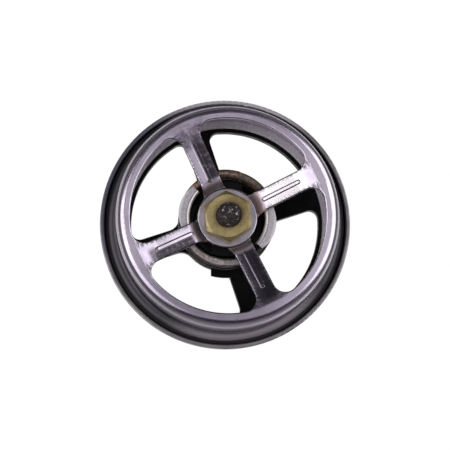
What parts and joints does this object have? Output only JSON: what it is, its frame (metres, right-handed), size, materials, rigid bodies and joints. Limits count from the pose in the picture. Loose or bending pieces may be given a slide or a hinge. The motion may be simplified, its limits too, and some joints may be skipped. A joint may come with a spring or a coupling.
{
  "type": "thermostatic valve",
  "caption": "Round coolant valve with a flange, a spoked sleeve wheel held by a hex nut, a coil spring and a wax capsule below.",
  "frame": {"origin": "centre of the flange rim, half way through its thickness", "axes": "+Z out of the front along the axis that the valve opens on; +X and +Y along front spokes"},
  "size_m": [0.064, 0.064, 0.0548],
  "materials": {
    "flange_steel": "satin",
    "spider_steel": "dark, satin",
    "cage_steel": "satin",
    "clip_steel": "satin",
    "case_brass": "dull",
    "wax": "matt",
    "diaphragm_rubber": "matt",
    "plug_rubber": "matt",
    "disc_plastic": "matt",
    "guide_brass": "dull",
    "seal_rubber": "matt",
    "wheel_steel": "satin, drawn",
    "washer_steel": "satin",
    "nut_brass": "dull, stained",
    "piston_steel": "dark, corroded",
    "carrier_steel": "satin",
    "spring_steel": "dull, rust stained"
  },
  "bodies": {
    "frame": {"flange_ring": "flange_steel", "rear_spider": "spider_steel", "spring_cage": "cage_steel", "retaining_ring": "clip_steel", "element_case": "case_brass", "element_wax": "wax", "element_diaphragm": "diaphragm_rubber", "element_plug": "plug_rubber", "element_disc": "disc_plastic", "element_guide": "guide_brass", "guide_seal": "seal_rubber", "return_spring": "spring_steel"},
    "sleeve_valve": {"valve_wheel": "wheel_steel", "hub_washer": "washer_steel", "hex_nut": "nut_brass", "piston": "piston_steel", "spring_carrier": "carrier_steel"}
  },
  "joints": [
    {"name": "valve_stroke", "type": "slide", "parent": "frame", "child": "sleeve_valve", "axis": [0, 0, 1], "range_m": [0, 0.0065], "stiffness_N_per_m": 2500, "springref_m": -0.004, "deforming": ["return_spring"]}
  ]
}
